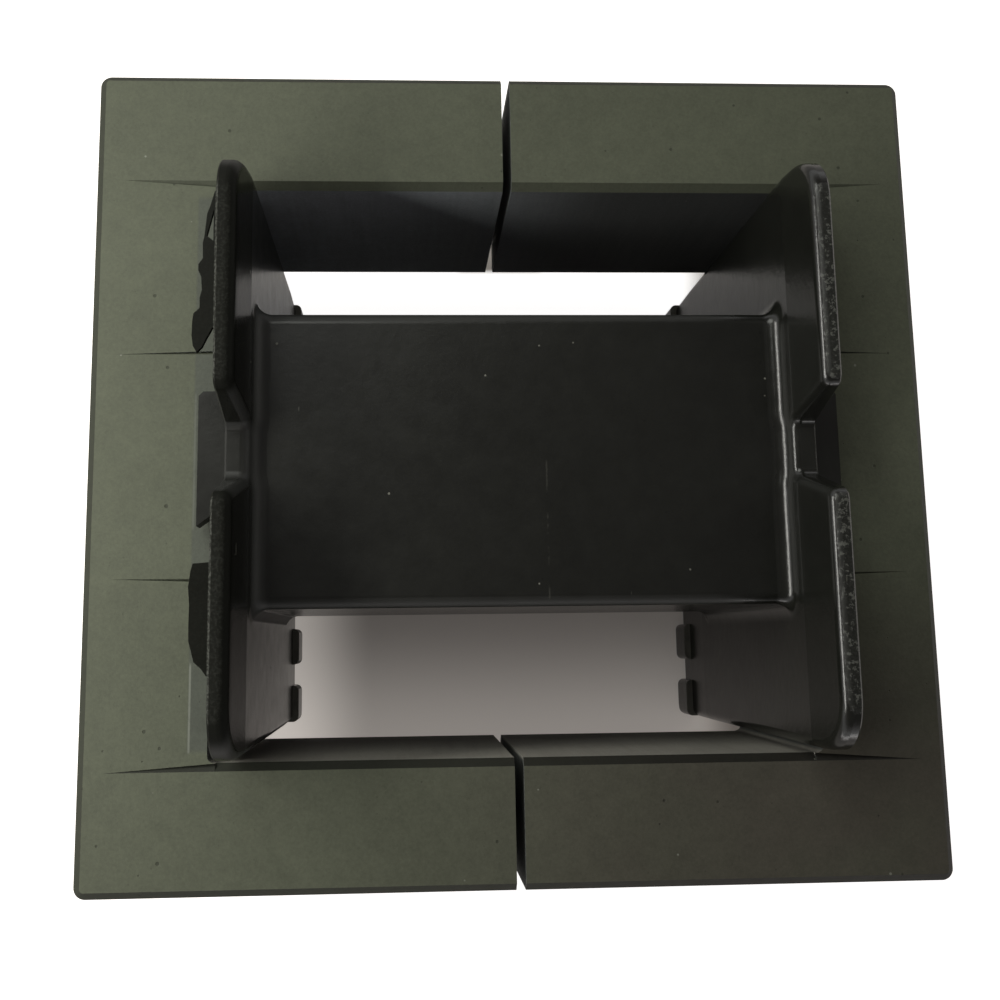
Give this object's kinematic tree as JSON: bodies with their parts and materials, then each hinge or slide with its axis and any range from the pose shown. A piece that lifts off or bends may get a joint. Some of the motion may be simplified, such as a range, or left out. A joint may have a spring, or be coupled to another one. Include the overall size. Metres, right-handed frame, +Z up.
{
  "type": "ferrite e core pair with coil former",
  "caption": "Facing ferrite E cores joined over a black moulded coil former on the shared middle leg, with open winding windows for a large power transformer.",
  "frame": {"origin": "middle of the footprint, at the height of the former's feet", "axes": "+X along the legs from the left half to the right half, +Y across the legs, +Z up through the stack"},
  "size_m": [0.1128, 0.11, 0.0725],
  "materials": {
    "ferrite": "ground, matte dark grey",
    "former_plastic": "black phenolic moulding, half gloss"
  },
  "bodies": {
    "root": {"left_e_core": "ferrite", "right_e_core": "ferrite", "coil_former": "former_plastic"}
  },
  "joints": []
}
